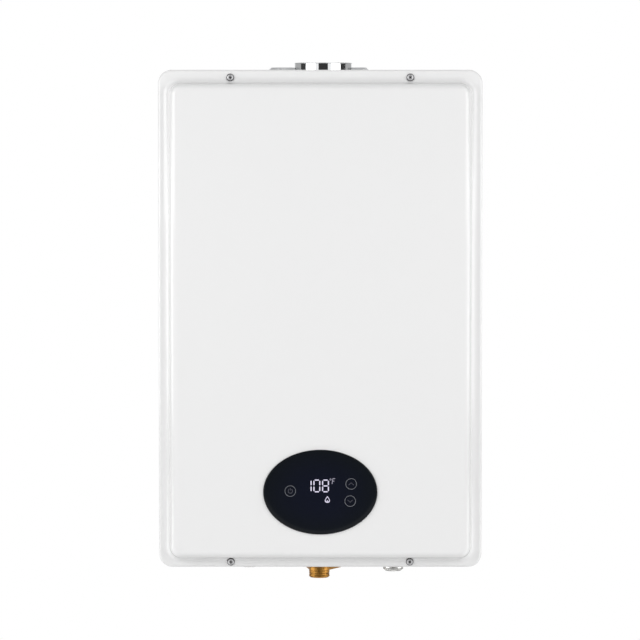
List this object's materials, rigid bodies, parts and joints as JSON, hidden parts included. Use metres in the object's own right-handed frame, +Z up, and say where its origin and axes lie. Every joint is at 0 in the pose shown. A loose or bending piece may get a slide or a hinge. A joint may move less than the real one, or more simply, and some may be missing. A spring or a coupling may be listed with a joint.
{
  "type": "tankless gas water heater",
  "caption": "Wall-hung fan-assisted tankless gas water heater: white pressed cover, oval touch panel, flue collar on top, gas and water stubs below.",
  "frame": {"origin": "on the wall plane, at the middle of the back panel, level with the middle of the front cover", "axes": "+X to the user's right, +Y into the wall (the front faces -Y), +Z up"},
  "size_m": [0.33, 0.1418, 0.5322],
  "materials": {
    "white_enamel": "gloss white baked enamel",
    "case_paint": "satin white powder coat",
    "galvanised": "plain zinc-coated sheet",
    "chrome": "bright chrome",
    "nickel": "nickel plate",
    "brass": "turned brass",
    "screw_steel": "zinc-plated steel",
    "panel_glass": "gloss navy-black glass with printed keys and display window",
    "housing_plastic": "fine-textured black",
    "circuit_board": "solder-mask green",
    "led_white": "white display module",
    "rubber_seal": "silicone rubber",
    "black_rubber": "black rubber",
    "stainless": "stainless sheet",
    "motor_black": "black painted steel",
    "copper": "bare copper",
    "cast_alloy": "die-cast",
    "pipe_steel": "zinc-plated steel pipe",
    "ceramic": "glazed ceramic and wire",
    "sensor_plastic": "off-white moulding",
    "drain_plastic": "ribbed knob",
    "thermostat": "plated cap"
  },
  "bodies": {
    "root": {"bottom_panel": "case_paint", "burner_bars": "stainless", "burner_frame": "stainless", "case_shell": "case_paint", "cold_inlet": "nickel", "cold_pipe": "copper", "control_board": "circuit_board", "controller_box": "sensor_plastic", "controller_lid": "sensor_plastic", "cover_screws": "screw_steel", "display_board": "circuit_board", "drain_body": "brass", "electrode_set": "ceramic", "exchanger_fins": "copper", "exchanger_shell": "copper", "exchanger_tubes": "copper", "fan_lid": "stainless", "fan_motor": "motor_black", "fan_scroll": "stainless", "flange_screws": "screw_steel", "flow_sensor": "sensor_plastic", "flue_collar": "chrome", "flue_flange": "galvanised", "flue_gasket": "rubber_seal", "front_cover": "white_enamel", "gas_inlet": "brass", "gas_inlet_screws": "screw_steel", "gas_inlet_spacer": "cast_alloy", "gas_manifold": "cast_alloy", "gas_nozzles": "brass", "gas_pipe": "pipe_steel", "gas_riser": "pipe_steel", "gas_valve_body": "cast_alloy", "hot_outlet": "nickel", "hot_pipe": "copper", "igniter_box": "housing_plastic", "inlet_filter": "stainless", "led_display": "led_white", "main_solenoid": "housing_plastic", "main_spring": "stainless", "motor_mounts": "black_rubber", "overheat_thermostats": "thermostat", "panel_glass": "panel_glass", "panel_housing": "housing_plastic", "power_gland": "housing_plastic", "power_module": "sensor_plastic", "pressure_hose": "rubber_seal", "pressure_switch": "sensor_plastic", "smoke_hood": "stainless", "stack_brackets": "galvanised", "top_panel": "case_paint", "trim_solenoid": "housing_plastic", "trim_spring": "stainless", "wall_brackets": "galvanised", "water_locknuts": "nickel"},
    "fan_rotor": {"fan_impeller": "stainless"},
    "flow_rotor": {"flow_turbine": "sensor_plastic"},
    "main_armature": {"main_plunger": "stainless"},
    "trim_armature": {"trim_plunger": "stainless"},
    "drain_screw": {"drain_plug": "drain_plastic"}
  },
  "joints": [
    {"name": "fan_spin", "type": "hinge", "parent": "root", "child": "fan_rotor", "pos_m": [-0.039, -0.06, 0.184], "axis": [0, -1, 0], "continuous": true},
    {"name": "turbine_spin", "type": "hinge", "parent": "root", "child": "flow_rotor", "pos_m": [0.0757, -0.061, -0.21], "axis": [0, 0, 1], "continuous": true},
    {"name": "main_valve_lift", "type": "slide", "parent": "root", "child": "main_armature", "axis": [0, 0, 1], "range_m": [0, 0.003], "stiffness_N_per_m": 300, "springref_m": -0.004, "deforming": ["main_spring"]},
    {"name": "trim_valve_lift", "type": "slide", "parent": "root", "child": "trim_armature", "axis": [0, 0, 1], "range_m": [0, 0.003], "stiffness_N_per_m": 300, "springref_m": -0.004, "deforming": ["trim_spring"]},
    {"name": "drain_turn", "type": "hinge", "parent": "root", "child": "drain_screw", "pos_m": [0.112, -0.061, -0.25], "axis": [0, 0, 1], "range_deg": [0, 720]}
  ]
}
